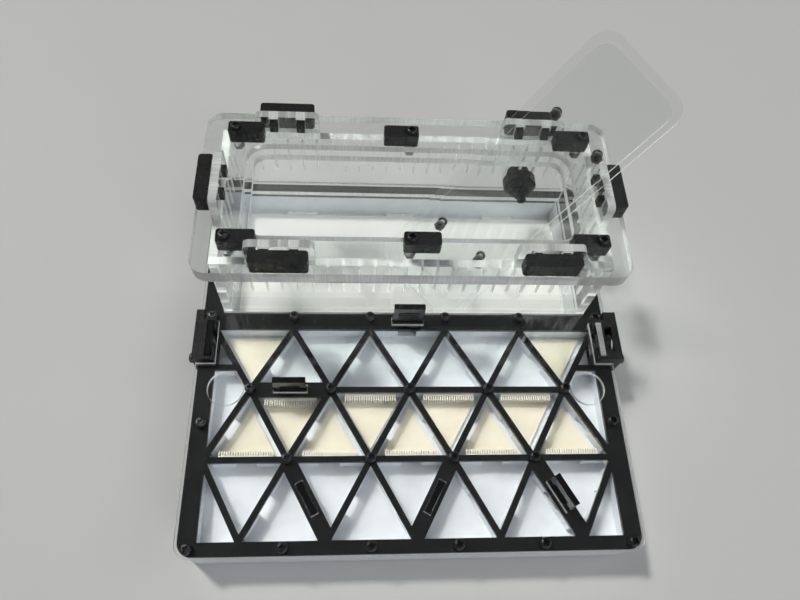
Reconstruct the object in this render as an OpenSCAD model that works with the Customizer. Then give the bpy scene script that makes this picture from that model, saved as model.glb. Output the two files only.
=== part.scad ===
// Ant habitat: a low triangular-celled nest in front of a tall clear foraging box.
// The origin is the middle of the flat underside. X runs along the front, Y to the back, Z up.

/* [Base] */
// Width of the white base block
base_w = 214; // [190:1:260]
// Depth of the white base block
base_d = 208; // [190:1:250]
// Radius of the upright corners of the base
base_corner_r = 7; // [3:0.5:12]
// Height of the nest floor above the table
nest_floor_z = 12.5; // [11:0.5:20]
// Height of the foraging box's floor recess above the table
recess_z = 3; // [2.5:0.25:9]

/* [Nest stack] */
// Height of the white chamber layer
chamber_h = 7.5; // [6:0.5:12]
// Thickness of the black lattice sheet
lattice_t = 2; // [1.5:0.5:4]
// Thickness of the clear cover sheet
cover_t = 3; // [2:0.5:5]
// Thickness of the air or glue film between sheets that lie on each other
film = 0.05; // [0.02:0.01:0.1]
// How far the clear cover stands past the base all round
cover_over = 1; // [0:0.5:2]
// How far the black sheet stands in from the cover's edge
lattice_inset = 1; // [0.5:0.5:2]
// Width of the border between the base's side and the cells
side_border = 8.5; // [8:0.5:10]
// Width of the border between the base's front and the cells
front_border = 6.3; // [6:0.1:12]
// Border left on the base outside each side of the clear box
box_side = 10.6; // [9:0.1:16]
// Border left on the base behind the clear box
box_rear = 6.6; // [4:0.1:12]

/* [Cells] */
// Width of the cut-off cell at each end of a row
end_cell_w = 18.5; // [17:0.1:19]
// How much deeper each row of cells is than the row behind it
row_step = 1.8; // [0:0.1:3]
// Width of a plain black lattice bar
bar_w = 3; // [2:0.25:5]
// Width of a lattice bar that carries a gate
gate_bar_w = 7.7; // [7:0.1:9]
// Thickness of the white wall strips under the plain bars
strip_t = 2.4; // [1.2:0.1:2.8]
// Width of the doorway in a wall strip
door_w = 10; // [6:0.5:12]
// Height of the doorways in the gate blocks
door_h = 6; // [4:0.5:6.5]
// Radius of the round post under each inner screw
post_r = 3.6; // [3:0.1:4.5]
// Distance from the box's front wall to the row of cells behind it
back_strip = 9.4; // [9:0.1:14]
// Distance from a side wall of the nest to the middle of its short entry bar
entry_bar_back = 21.4; // [18:0.2:26]
// Thickness of the cream pads that hold water for the nest
pad_t = 1.5; // [1:0.25:3]
// Space between a pad and the walls round it
pad_gap = 0.6; // [0.3:0.1:2]
// Thickness of the back of the ribbed mesh strips beside the moist row
mesh_t = 1.2; // [0.8:0.1:2]
// Length of a mesh strip's ribs
mesh_rib_l = 2.4; // [1:0.1:3]
// Distance between neighbouring ribs of a mesh strip
mesh_pitch = 1.2; // [0.8:0.05:2]

/* [Gates] */
// Width of a sliding gate
gate_w = 16; // [12:0.5:18]
// Thickness of a sliding gate
gate_t = 3; // [2:0.1:3.2]
// Thickness of base left under a gate's slot
gate_floor = 2.4; // [1.5:0.1:5]
// Height of the bar at the top of a gate
gate_top_h = 4.8; // [3:0.1:6]
// Width of the legs beside a gate's window
gate_leg_w = 3.1; // [2:0.1:4]
// Height of a gate's window
gate_window_h = 7; // [6.5:0.1:8]
// How far a gate rises
gate_lift = 11.5; // [8:0.5:12]
// Running clearance round a gate in its block
gate_gap = 0.3; // [0.3:0.05:0.5]
// Width of the bright rim between a gate and the slot in the cover
cover_slot_gap = 0.5; // [0.4:0.1:0.8]

/* [Side ports] */
// Length of a side port's channel part along the side of the base
port_l = 23; // [22:0.5:24]
// Height of a side port block
port_h = 20.5; // [19:0.5:26]
// How far a side port block stands past the side of the base
port_out = 5; // [3:0.5:8]
// Diameter of the tube bore in a side port
port_bore_d = 11; // [8:0.5:12]
// How far the outer part of a side port runs on behind its channel
port_tail = 4.5; // [0:0.5:5]
// Width of a side shutter
shutter_w = 19; // [14:0.5:20]
// Thickness of a side shutter
shutter_t = 3; // [2:0.25:4]
// Thickness of the lip and of the floor that guide a side shutter
port_lip = 1; // [0.8:0.1:1.4]
// Length of a port's side screw
port_screw_l = 4.5; // [3:0.5:5]
// Diameter of the fill plug in the cover
fill_d = 17.6; // [14:0.2:18]

/* [Foraging box] */
// Outer depth of the clear box
box_d = 80; // [60:1:90]
// Thickness of the clear walls
wall_t = 4; // [3:0.5:5]
// Height of the clear walls above the nest cover
wall_rise = 45; // [40:1:60]
// Thickness of the white floor sheet
floor_t = 2; // [1.5:0.25:3]
// Width of a vent slit
slit_w = 1; // [0.6:0.1:1.6]
// Height of a vent slit
slit_h = 20; // [12:1:24]
// Distance between neighbouring vent slits
slit_pitch = 7.5; // [5:0.25:10]
// Distance from the wall's top edge down to the slits
slit_top = 3; // [2:0.5:10]
// Length of a finger of the corner joints
finger_l = 10.6; // [6:0.2:14]
// Width of the floor's tabs in the walls
tab_w = 18; // [12:1:24]
// Distance from the side of the box to the middle of the end tabs
tab_end = 36.4; // [24:0.2:44]

/* [Top ring] */
// How far the ring stands past the clear walls
ring_over = 7.6; // [6:0.2:9]
// Thickness of each of the two ring sheets
ring_t = 4; // [3:0.5:5]
// Radius of the ring's outer corners
ring_corner_r = 8; // [4:0.5:12]
// Distance from the side of the box in to the ring's mouth
mouth_side = 13.4; // [12:0.2:20]
// Distance from the front and back of the box in to the ring's mouth
mouth_long = 12; // [11.8:0.2:14]
// Width of the ledge that carries the lid
ledge_w = 3.5; // [2:0.25:5]
// Radius of the opening's corners in the upper sheet
mouth_r = 10; // [6:0.5:14]

/* [Ears and clips] */
// Width of a wall ear that passes up through the ring
ear_w = 32; // [26:0.5:36]
// Height of an ear above the ring
ear_rise = 10.5; // [10:0.5:14]
// Distance from the side of the box to the middle of a front or back ear
ear_end = 33.4; // [30:0.2:40]
// Width of the slots in an ear
ear_slot_w = 4.6; // [3.5:0.1:6]
// Height of the slots in an ear
ear_slot_h = 7.5; // [5:0.25:8]
// Height of an ear's slots above the ring
ear_slot_z = 1.5; // [1:0.1:2.5]
// Distance of each slot from the middle of its ear
ear_slot_x = 6.7; // [5:0.1:9]
// Width of a clip block
clip_w = 27; // [20:0.5:30]
// Depth of a clip block
clip_d = 7; // [4:0.2:8]
// Height of a clip block
clip_h = 8.5; // [6:0.25:10]
// Space between a clip block and its ear
clip_off = 0.3; // [0.3:0.05:1]
// Clearance round a clip's tenons
tenon_gap = 0.3; // [0.3:0.05:0.6]
// Height of slot left open above a clip's tenons
tenon_low = 2; // [0:0.25:3]
// How far a clip's tenons stand out behind the ear
tenon_out = 2; // [0.5:0.25:4]

/* [Turn buttons] */
// Length of a turn button
button_l = 17.5; // [12:0.5:20]
// Width of a turn button
button_w = 7.3; // [5:0.1:7.3]
// Height of a turn button
button_h = 7.3; // [4:0.1:9]
// Distance of the end turn buttons' pivots past the ends of the ring's mouth
button_out = 5; // [4:0.1:5.4]
// Space between the turn buttons and the ears behind them
button_gap = 0.3; // [0.3:0.05:0.6]
// Distance of the middle turn button at the front from the middle
button_mid_front = 2.3; // [0:0.1:20]
// Distance of the middle turn button at the back from the middle
button_mid_back = 0.3; // [0:0.1:20]

/* [Lid] */
// Clearance round the lid's large sheet in the ring's mouth
lid_gap = 0.75; // [0.4:0.05:1.5]
// Thickness of each of the lid's two sheets
lid_t = 3.5; // [2:0.25:4]
// How much further in than the ledge the lid's small sheet ends
lid_step_gap = 0.5; // [0.25:0.25:2]
// Distance from the mouth's right end to the leaning lid's lowest corner
lid_reach = 59.1; // [50:0.1:64]
// Distance from the front wall to the leaning lid's lowest corner
lid_foot_y = 3.4; // [3:0.1:8]
// How far the square of the lid's lowest, rounded corner would lie below the floor
lid_sink = 2.3; // [1.5:0.1:2.3]
// Height above the ring at which the leaning lid's edge passes the mouth's end
lid_ride = 1.6; // [1.5:0.1:4]
// Turn of the leaning lid about its own length
lid_roll = 33.5; // [30:0.5:38]
// Direction in which the leaning lid's length points, from the right towards the back
lid_bearing = 23.7; // [20:0.1:26]
// Distance of each pair of lid bolts from the lid's ends
lid_bolt_end = 42; // [30:1:60]
// Distance between the two bolts of a pair
lid_bolt_gap = 28; // [20:1:34]

/* [Rear port] */
// Distance from the side of the box to the rear port
rear_port_end = 31.6; // [20:0.2:60]
// Height of the rear port above the nest cover
rear_port_z = 19.5; // [12:0.5:21]
// Diameter of the rear port's flange
rear_flange_d = 18; // [14:0.5:22]
// Length of the rear port's flange inside the box
rear_flange_l = 7.7; // [3:0.1:10]
// Diameter of the water tube bore through the rear port
rear_bore_d = 3; // [2:0.25:4]
// Diameter of the rear port's neck in the wall
rear_neck_d = 8; // [6:0.5:9]
// Length of the rear port's neck behind the wall
rear_neck_out = 6; // [5:0.5:10]
// Width across the flats of the rear port's nut
rear_nut_across = 12; // [11:0.5:16]
// Thickness of the rear port's nut
rear_nut_h = 4; // [2:0.5:4.5]
// Diameter over the corners of the rear port's cap
rear_cap_d = 9; // [7:0.5:12]
// Height of the rear port's cap
rear_cap_h = 3; // [2:0.5:4]
// Diameter of the stub on the rear port's cap
rear_stub_d = 5; // [4.5:0.5:6]
// Length of the stub on the rear port's cap
rear_stub_l = 4; // [2:0.5:6]

/* [Screws] */
// Diameter of the small screws' threads
screw_d = 2.5; // [2:0.1:3]
// Diameter of the small screws' heads
screw_head_d = 5; // [4:0.1:5.4]
// Height of the small screws' heads
screw_head_h = 1.9; // [1.2:0.1:2.4]
// Width across the flats of the small nuts
nut_across = 5; // [4.5:0.1:5.5]
// Height of the small nuts
nut_h = 2; // [1.5:0.1:2.4]
// How much longer a bolt is than what it joins and its nut
bolt_over = 1.5; // [0:0.25:2]
// Distance of the outer screws from the sides of the base
screw_side = 5; // [4:0.1:5.5]
// Distance of the front screws from the front of the base
screw_front = 3.2; // [2.8:0.1:5]
// Distance of the back row of screws from the clear box
screw_box = 2.8; // [2.6:0.1:4]

/* [Hidden] */
$fn = 48;
eps = 0.01;
touch = 0.1;               // space left between glued or seated faces that slant or curve
front_y = -base_d / 2;
lattice_z = nest_floor_z + chamber_h;
cover_z = lattice_z + lattice_t;
top_z = cover_z + cover_t;

box_w = base_w - 2 * box_side;
box_back_y = base_d / 2 - box_rear;
box_front_y = box_back_y - box_d;
box_mid_y = (box_front_y + box_back_y) / 2;
wall_top = top_z + wall_rise;
floor_top = recess_z + floor_t;
box_gap = 0.2;             // space round the clear box where it drops into the sheets

cell_x = base_w / 2 - side_border;
cell_pitch = (cell_x - end_cell_w) / 2;    // between neighbouring nodes along a row
half = cell_pitch / 2;
cells_front_y = front_y + front_border;
row_back_y = box_front_y - back_strip;
row_depths = [for (i = [-1 : 1]) (row_back_y - cells_front_y) / 3 + i * row_step];
row_y = [row_back_y, row_back_y - row_depths[0], cells_front_y + row_depths[2], cells_front_y];
entry_y = row_back_y - entry_bar_back;
row1_x = [for (i = [-2 : 2]) i * cell_pitch];          // nodes on the first and third rows
row2_x = [for (i = [-1.5 : 1.5]) i * cell_pitch];      // nodes on the rows between

// Slanting gate bars of the front row, each as [upper node, lower node, lifted]
front_gates = [[-1.5, -1, false], [0.5, 0, false], [1.5, 2, true]];
upper_gate_x = row2_x[0];
exit_gate_y = box_front_y - back_strip / 2 - 0.3;
gate_h = top_z - gate_floor - gate_gap;

port_y = box_front_y - screw_box - screw_head_d / 2 - 0.6 - port_l / 2;
port_x0 = cell_x + 0.2;
port_x1 = base_w / 2 + port_out;
port_back_x = port_x0 + port_lip + shutter_t + 2 * gate_gap;
port_out_x = port_back_x + 2;  // where the longer outer part of a side port starts
port_z1 = nest_floor_z + port_h;
port_bore_z = nest_floor_z + port_h / 2;
port_gap = 0.3;                // space between a side port and its notch
fill_x = 2 * cell_pitch + screw_head_d / 2 + 0.7 + fill_d / 2;

ring_w = box_w + 2 * ring_over;
ring_d = box_d + 2 * ring_over;
ring_top = wall_top + 2 * ring_t;
mouth_w = box_w - 2 * mouth_side;
mouth_d = box_d - 2 * mouth_long;
ear_x = box_w / 2 - ear_end;
rear_port_x = box_w / 2 - rear_port_end;
button_front_y = box_front_y + wall_t + button_gap + button_w / 2;
button_back_y = box_back_y - wall_t - button_gap - button_w / 2;
button_x = mouth_w / 2 + button_out;
button_pivot = button_w / 2;
button_screw_l = button_h + 2 * ring_t + nut_h + bolt_over;

lid_l = mouth_w - 2 * lid_gap;
lid_w = mouth_d - 2 * lid_gap;
lid_r = mouth_r - lid_gap;
lid_step = ledge_w + lid_step_gap;
lid_foot = [mouth_w / 2 - lid_reach, box_front_y + wall_t + lid_foot_y, floor_top - lid_sink];
lid_rise = atan2(ring_top + lid_ride - lid_foot[2], lid_reach / cos(lid_bearing));

// ---- Shapes that repeat ----

// Flat outline with round corners, centred on the origin
module round_rect(w, d, r) {
    square([w - 2 * r, d], center = true);
    square([w, d - 2 * r], center = true);
    for (x = [-1, 1], y = [-1, 1])
        translate([x * (w / 2 - r), y * (d / 2 - r)]) circle(r);
}

// Sheet with round corners, standing on z
module sheet(w, d, r, z, t) {
    translate([0, 0, z]) linear_extrude(t) round_rect(w, d, r);
}

// Box given by its low and high corners
module block(low, high) {
    translate(low) cube([high[0] - low[0], high[1] - low[1], high[2] - low[2]]);
}

// Pan-head screw whose head rests on the origin, with its shank pointing down and a cross recess
module pan_screw(length, turn = 0) {
    edge_r = screw_head_h / 2;
    difference() {
        rotate_extrude() polygon(concat(
            [[0, -length], [screw_d / 2, -length], [screw_d / 2, 0], [screw_head_d / 2, 0]],
            [for (a = [0 : 15 : 90])
                [screw_head_d / 2 - edge_r * (1 - cos(a)), screw_head_h - edge_r * (1 - sin(a))]],
            [[0, screw_head_h]]));
        for (a = [0, 90])
            translate([0, 0, screw_head_h]) rotate([0, 0, a + turn])
                cube([screw_head_d * 0.58, screw_head_d * 0.15, screw_head_h * 1.2], center = true);
    }
}

// Hexagonal nut standing on the origin
module hex_nut(across, hole_d, height) {
    difference() {
        cylinder(d = across / cos(30), h = height, $fn = 6);
        translate([0, 0, -1]) cylinder(d = hole_d, h = height + 2);
    }
}

// ---- Places in the nest ----

// Row of each inner node: [x, y]
inner_nodes = concat([for (x = row1_x) [x, row_y[1]]], [for (x = row2_x) [x, row_y[2]]]);

screw_places = concat(
    [for (x = row2_x) [x, box_front_y - screw_box]],
    [for (x = row2_x) [x, front_y + screw_front]],
    [for (s = [-1, 1], y = [box_front_y - screw_box, (row_y[1] + row_y[2]) / 2, front_y + screw_front])
        [s * (base_w / 2 - screw_side), y]],
    inner_nodes);

// Width of the slanting bar between two nodes of the front row
function front_bar_w(upper, lower) =
    len([for (g = front_gates) if (g[0] * cell_pitch == upper && g[1] * cell_pitch == lower) g]) > 0
        ? gate_bar_w : bar_w;

// Sideways half width of a slanting bar, from its true width and its row
function lean(w, row) = w / 2 * norm([half, row_depths[row]]) / row_depths[row];

// Window of a cell that points to the front: apex x, row, bar widths on the left and right, top edge
function front_cell(x, row, wl, wr, top) =
    let (k = half / row_depths[row], l = lean(wl, row), r = lean(wr, row), y0 = row_y[row + 1])
    [[x - (top - y0) * k + l, top], [x + (l - r) / 2, y0 + (l + r) / 2 / k],
     [x + (top - y0) * k - r, top]];

// Window of a cell that points to the back: apex x, row, bar widths on the left and right, front edge
function back_cell(x, row, wl, wr, bottom) =
    let (k = half / row_depths[row], l = lean(wl, row), r = lean(wr, row), y0 = row_y[row])
    [[x - (y0 - bottom) * k + l, bottom], [x + (y0 - bottom) * k - r, bottom],
     [x + (l - r) / 2, y0 - (l + r) / 2 / k]];

// Every window of the lattice, as [row, outline]. The end cells are cut off by the border.
function end_cells(s) =
    let (k0 = half / row_depths[0], k1 = half / row_depths[1], k2 = half / row_depths[2],
         l0 = lean(bar_w, 0), l1 = lean(bar_w, 1), l2 = lean(bar_w, 2), x2 = 2 * cell_pitch,
         entry_hi = entry_y + bar_w / 2, entry_lo = entry_y - bar_w / 2, edge = cell_x)
    [[0, [[s * edge, entry_hi], [s * (x2 + (entry_hi - row_y[1]) * k0 + l0), entry_hi],
          [s * edge, row_y[1] + (edge - x2 - l0) / k0]]],
     [3, [[s * edge, entry_lo], [s * (x2 + (entry_lo - row_y[1]) * k0 + l0), entry_lo],
          [s * (x2 + (l0 + l1) / 2), row_y[1]], [s * edge, row_y[1] - (edge - x2 - l1) / k1]]],
     [2, [[s * edge, cells_front_y], [s * (x2 + (cells_front_y - row_y[3]) * k2 + l2), cells_front_y],
          [s * edge, row_y[3] + (edge - x2 - l2) / k2]]]];

cells = concat(
    [for (x = row1_x) [0, front_cell(x, 0, bar_w, bar_w, row_y[0])]],
    [for (x = row2_x) [0, back_cell(x, 0, bar_w, bar_w,
        row_y[1] + (x == upper_gate_x ? gate_bar_w : bar_w) / 2)]],
    [for (x = row1_x) [1, back_cell(x, 1, bar_w, bar_w, row_y[2] + bar_w / 2)]],
    [for (x = row2_x) [1, front_cell(x, 1, bar_w, bar_w,
        row_y[1] - (x == upper_gate_x ? gate_bar_w : bar_w) / 2)]],
    [for (x = row1_x) [2, front_cell(x, 2, front_bar_w(x - half, x), front_bar_w(x + half, x),
        row_y[2] - bar_w / 2)]],
    [for (x = row2_x) [2, back_cell(x, 2, front_bar_w(x, x - half), front_bar_w(x, x + half),
        cells_front_y)]],
    end_cells(-1), end_cells(1));

// Middle of an outline, and the outline drawn in towards it
function middle(p) = [for (i = [0, 1]) [for (q = p) q[i]] * [for (q = p) 1] / len(p)];
function drawn_in(p, keep) = let (m = middle(p)) [for (q = p) m + (q - m) * keep];

// Gate places: [x, y, turn about Z, lifted]
function front_gate_place(g) =
    let (a = [g[0] * cell_pitch, row_y[2]], b = [g[1] * cell_pitch, row_y[3]])
    [(a[0] + b[0]) / 2, (a[1] + b[1]) / 2, atan2(b[1] - a[1], b[0] - a[0]), g[2]];
upper_gate = [upper_gate_x, row_y[1], 0, true];
exit_gate = [0, exit_gate_y, 0, true];
gate_places = concat([upper_gate, exit_gate], [for (g = front_gates) front_gate_place(g)]);

// Upright slots for the gates, with a gap round each gate
module gate_slots(gap, z, h) {
    for (g = gate_places)
        translate([g[0], g[1], z]) rotate([0, 0, g[2]])
            translate([-gate_w / 2 - gap, -gate_t / 2 - gap, 0])
                cube([gate_w + 2 * gap, gate_t + 2 * gap, h]);
}

module screw_holes(z, h) {
    for (p = screw_places)
        translate([p[0], p[1], z]) cylinder(d = screw_d + 0.1, h = h);
}

// Clear box's outline cut through a sheet
module box_cut(z, h) {
    translate([0, box_mid_y, z]) linear_extrude(h)
        square([box_w + 2 * box_gap, box_d + 2 * box_gap], center = true);
}

// Notches in the sheets for the side ports, whose outer part is longer
module port_notches(z, h) {
    low = port_y - port_l / 2 - port_gap;
    high = port_y + port_l / 2 + port_gap;
    for (s = [0, 1]) mirror([s, 0, 0]) {
        block([cell_x, low, z], [base_w, high, z + h]);
        block([port_out_x - port_gap, low, z], [base_w, high + port_tail, z + h]);
    }
}

// ---- Base and nest ----

module base_block() {
    color("whitesmoke") difference() {
        sheet(base_w, base_d, base_corner_r, 0, nest_floor_z);
        box_cut(recess_z, nest_floor_z);
        gate_slots(gate_gap, gate_floor, nest_floor_z);
        screw_holes(2, nest_floor_z);
    }
}

// White frame round the cells and the clear box
module chamber_frame() {
    color("white") difference() {
        sheet(base_w, base_d, base_corner_r, nest_floor_z, chamber_h);
        block([-cell_x, cells_front_y, nest_floor_z - 1], [cell_x, row_y[0], lattice_z + 1]);
        box_cut(nest_floor_z - 1, chamber_h + 2);
        port_notches(nest_floor_z - 1, chamber_h + 2);
        gate_slots(gate_gap, nest_floor_z - 1, chamber_h + 2);
        screw_holes(nest_floor_z - 1, chamber_h + 2);
        block([-door_w / 2, row_y[0] - 1, lattice_z - door_h], [door_w / 2, box_front_y + 1, lattice_z + 1]);
    }
}

// Wall strip along the line from a to b. The two ends stay short of the nodes by the given lengths.
module strip(a, b, end_a, end_b, door) {
    run = norm(b - a);
    long = run - end_a - end_b;
    translate([a[0], a[1], nest_floor_z]) rotate([0, 0, atan2(b[1] - a[1], b[0] - a[0])])
        for (side = door ? [0, 1] : [0])
            translate([end_a + side * (long + door_w) / 2, -strip_t / 2, 0])
                cube([door ? (long - door_w) / 2 : long, strip_t, chamber_h]);
}

// Lengths by which a slanting strip stops before a straight edge, and before the strip that it meets there
function edge_end(row) = strip_t / 2 * half / row_depths[row] + touch;
function meet_end(row) =
    let (a = 2 * atan(half / row_depths[row])) (strip_t / 2 * (1 + cos(a)) + touch) / sin(a);

module wall_strips() {
    at_post = post_r + touch;
    color("white") {
        for (x = row1_x, s = [-1, 1]) {
            outer = abs(x + s * half) > 1.9 * cell_pitch;
            // back row, from the strip of the frame to the first row of nodes
            if (!outer)
                strip([x + s * half, row_y[0]], [x, row_y[1]], s < 0 ? edge_end(0) : meet_end(0),
                      at_post, true);
            else
                strip([sign(x) * cell_x, row_y[1] + (cell_x - abs(x)) / half * row_depths[0]],
                      [x, row_y[1]], strip_t, at_post, true);
            // middle row
            if (!outer)
                strip([x, row_y[1]], [x + s * half, row_y[2]], at_post, at_post, true);
            else
                strip([x, row_y[1]],
                      [sign(x) * cell_x, row_y[1] - (cell_x - abs(x)) / half * row_depths[1]],
                      at_post, strip_t, true);
            // front row
            if (!outer && front_bar_w(x + s * half, x) == bar_w)
                strip([x + s * half, row_y[2]], [x, row_y[3]], at_post,
                      s < 0 ? edge_end(2) : meet_end(2), true);
            if (outer)
                strip([sign(x) * cell_x, row_y[3] + (cell_x - abs(x)) / half * row_depths[2]],
                      [x, row_y[3]], strip_t, s < 0 ? edge_end(2) : meet_end(2), true);
        }
        for (i = [1 : 3])
            strip([row1_x[i], row_y[1]], [row1_x[i + 1], row_y[1]], at_post, at_post, false);
        for (i = [0 : 2])
            strip([row2_x[i], row_y[2]], [row2_x[i + 1], row_y[2]], at_post, at_post, true);
        for (s = [-1, 1]) {
            strip([s * cell_x, row_y[2]], [s * row2_x[3], row_y[2]], strip_t, at_post, true);
            strip([s * cell_x, entry_y],
                  [s * (2 * cell_pitch + (entry_y - row_y[1]) / row_depths[0] * half), entry_y],
                  touch, strip_t, false);
        }
    }
}

// Thick wall under a gate bar, with the gate's slot and a doorway through it
module gate_block(a, b, end_a, end_b) {
    run = norm(b - a);
    thick = gate_bar_w - 0.7;
    translate([a[0], a[1], nest_floor_z]) rotate([0, 0, atan2(b[1] - a[1], b[0] - a[0])])
        difference() {
            translate([end_a, -thick / 2, 0]) cube([run - end_a - end_b, thick, chamber_h]);
            translate([run / 2 - door_w / 2, -thick, chamber_h - door_h])
                cube([door_w, 2 * thick, door_h + 1]);
            translate([run / 2 - gate_w / 2 - gate_gap, -gate_t / 2 - gate_gap, -1])
                cube([gate_w + 2 * gate_gap, gate_t + 2 * gate_gap, chamber_h + 2]);
        }
}

module gate_blocks() {
    at_post = post_r + gate_bar_w / 4;
    color("white") {
        gate_block([upper_gate_x - half, row_y[1]], [upper_gate_x + half, row_y[1]], at_post, at_post);
        for (g = front_gates)
            gate_block([g[0] * cell_pitch, row_y[2]], [g[1] * cell_pitch, row_y[3]],
                       at_post + 1, gate_bar_w / 2 + strip_t);
    }
}

module screw_posts() {
    color("white") for (p = inner_nodes)
        translate([p[0], p[1], nest_floor_z]) difference() {
            cylinder(r = post_r, h = chamber_h);
            translate([0, 0, -1]) cylinder(d = screw_d + 0.1, h = chamber_h + 2);
        }
}

// Cream pads on the floor of the middle row and of the two back corner cells
module moist_pads() {
    corner = 2 * cell_pitch - eps;
    color("cornsilk") for (c = cells)
        if (c[0] == 1 || (c[0] == 0 && abs(middle(c[1])[0]) > corner && len(c[1]) == 3
                          && abs(middle(c[1])[0]) < cell_x - 8))
            translate([0, 0, nest_floor_z]) linear_extrude(pad_t)
                polygon(drawn_in(c[1], 1 - pad_gap / 10 - 0.12));
}

// Mesh strip that stands on a pad from lo to hi, with its back on y and its ribs on the side s
module mesh_strip(lo, hi, y, s) {
    n = floor((hi - lo) / mesh_pitch);
    rib_w = mesh_pitch / 2;
    start = (lo + hi - (n - 1) * mesh_pitch - rib_w) / 2;
    ribs = [for (i = [0 : n - 1], k = [0 : 3])
        [start + i * mesh_pitch + (k > 1 ? rib_w : 0),
         y + s * (mesh_t + (k == 1 || k == 2 ? mesh_rib_l : 0))]];
    translate([0, 0, nest_floor_z + pad_t]) linear_extrude(chamber_h - pad_t - 0.5)
        polygon(concat([[start, y]], ribs, [[start + (n - 1) * mesh_pitch + rib_w, y]]));
}

// Ribbed strips against the two long walls of the middle row
module mesh_strips() {
    long = cell_pitch - 2 * post_r - 5.6;
    gap = strip_t / 2 + 0.2;
    gate_wall_gap = gate_bar_w / 2 - 0.15;
    color("cornsilk") {
        for (x = row2_x)
            mesh_strip(x - long / 2, x + long / 2, row_y[1] - (x == upper_gate_x ? gate_wall_gap : gap), -1);
        for (x = row1_x)
            mesh_strip(max(x - long / 2, -cell_x + 1), min(x + long / 2, cell_x - 1), row_y[2] + gap, 1);
    }
}

// Black sheet with a window over every cell
module lattice_sheet() {
    over = cover_over - lattice_inset;
    color("black") difference() {
        sheet(base_w + 2 * over, base_d + 2 * over, base_corner_r, lattice_z, lattice_t - film);
        for (c = cells)
            translate([0, 0, lattice_z - 1]) linear_extrude(lattice_t + 2) polygon(c[1]);
        box_cut(lattice_z - 1, lattice_t + 2);
        port_notches(lattice_z - 1, lattice_t + 2);
        gate_slots(gate_gap, lattice_z - 1, lattice_t + 2);
        screw_holes(lattice_z - 1, lattice_t + 2);
    }
}

module cover_sheet() {
    color("azure", 0.35) difference() {
        sheet(base_w + 2 * cover_over, base_d + 2 * cover_over, base_corner_r, cover_z, cover_t);
        box_cut(cover_z - 1, cover_t + 2);
        port_notches(cover_z - 1, cover_t + 2);
        gate_slots(cover_slot_gap, cover_z - 1, cover_t + 2);
        screw_holes(cover_z - 1, cover_t + 2);
        for (s = [-1, 1])
            translate([s * fill_x, row_y[1], cover_z - 1]) cylinder(d = fill_d + 0.2, h = cover_t + 2);
    }
}

module nest_screws() {
    color("dimgray") for (p = screw_places)
        translate([p[0], p[1], top_z + film]) pan_screw(top_z - 4, 7 * p[0] + 3 * p[1]);
}

// ---- Gates, shutters and plugs ----

// Sliding gate, drawn where it rests
module gate(g) {
    bottom = top_z - gate_h + (g[3] ? gate_lift : 0);
    color("black") translate([g[0], g[1], bottom]) rotate([0, 0, g[2]]) difference() {
        translate([-gate_w / 2, -gate_t / 2, 0]) cube([gate_w, gate_t, gate_h]);
        translate([-gate_w / 2 + gate_leg_w, -gate_t, gate_h - gate_top_h - gate_window_h])
            cube([gate_w - 2 * gate_leg_w, 2 * gate_t, gate_window_h]);
    }
}

module gate_upper() { gate(upper_gate); }
module gate_exit() { gate(exit_gate); }
module gate_front_left() { gate(front_gate_place(front_gates[0])); }
module gate_front_middle() { gate(front_gate_place(front_gates[1])); }
module gate_front_right() { gate(front_gate_place(front_gates[2])); }

// Tube port on the right-hand side. Its shutter runs in an upright channel.
module port_block() {
    channel_w = shutter_w + 2 * gate_gap;
    channel_z = nest_floor_z + port_floor;
    translate([0, port_y, 0]) difference() {
        union() {
            block([port_x0, -port_l / 2, nest_floor_z], [port_x1, port_l / 2, port_z1]);
            block([port_out_x, 0, nest_floor_z], [port_x1, port_l / 2 + port_tail, port_z1]);
        }
        block([port_x0 + port_lip, -channel_w / 2, channel_z], [port_back_x, channel_w / 2, port_z1 + 1]);
        block([port_x0 - 1, -door_w / 2, channel_z], [port_x0 + port_lip + 1, door_w / 2, port_z1 + 1]);
        translate([port_x0, 0, port_bore_z]) rotate([0, 90, 0])
            cylinder(d = port_bore_d, h = port_x1 - port_x0 + 1);
        port_screw_place() translate([0, 0, -port_screw_l - 0.5])
            cylinder(d = screw_d + 0.1, h = port_screw_l + 1);
    }
}

port_floor = 0.5;

// Side screw's place on a right-hand port that stands at y = 0
module port_screw_place() {
    translate([port_x1, -port_l / 2 + screw_head_d / 2, nest_floor_z + 12]) rotate([0, 90, 0]) children();
}

module port_screws() {
    color("dimgray") for (s = [0, 1])
        mirror([s, 0, 0]) translate([0, port_y, 0]) port_screw_place() pan_screw(port_screw_l, 20);
}

module shutter() {
    x = port_x0 + port_lip + gate_gap;
    translate([0, port_y, 0])
        block([x, -shutter_w / 2, nest_floor_z + port_floor + gate_gap],
              [x + shutter_t, shutter_w / 2, port_z1]);
}

module port_block_left() { color("black") mirror([1, 0, 0]) port_block(); }
module port_block_right() { color("black") port_block(); }
module shutter_left() { color("black") mirror([1, 0, 0]) shutter(); }
module shutter_right() { color("azure", 0.35) shutter(); }

// Clear disc with a low rim that closes a fill hole in the cover
module fill_plug(s) {
    color("azure", 0.35) translate([s * fill_x, row_y[1], cover_z]) cylinder(d = fill_d, h = cover_t);
}

module fill_plug_left() { fill_plug(-1); }
module fill_plug_right() { fill_plug(1); }

// ---- Foraging box ----

// Tabs of the floor that reach out through the walls' lower edges
module floor_tabs(gap) {
    for (s = [-1 : 1])
        translate([s * (box_w / 2 - tab_end), box_mid_y, recess_z - gap]) linear_extrude(floor_t + 2 * gap)
            square([tab_w + 2 * gap, box_d + gap / 2], center = true);
    translate([0, box_mid_y, recess_z - gap]) linear_extrude(floor_t + 2 * gap)
        square([box_w + gap / 2, tab_w + 2 * gap], center = true);
}

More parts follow.
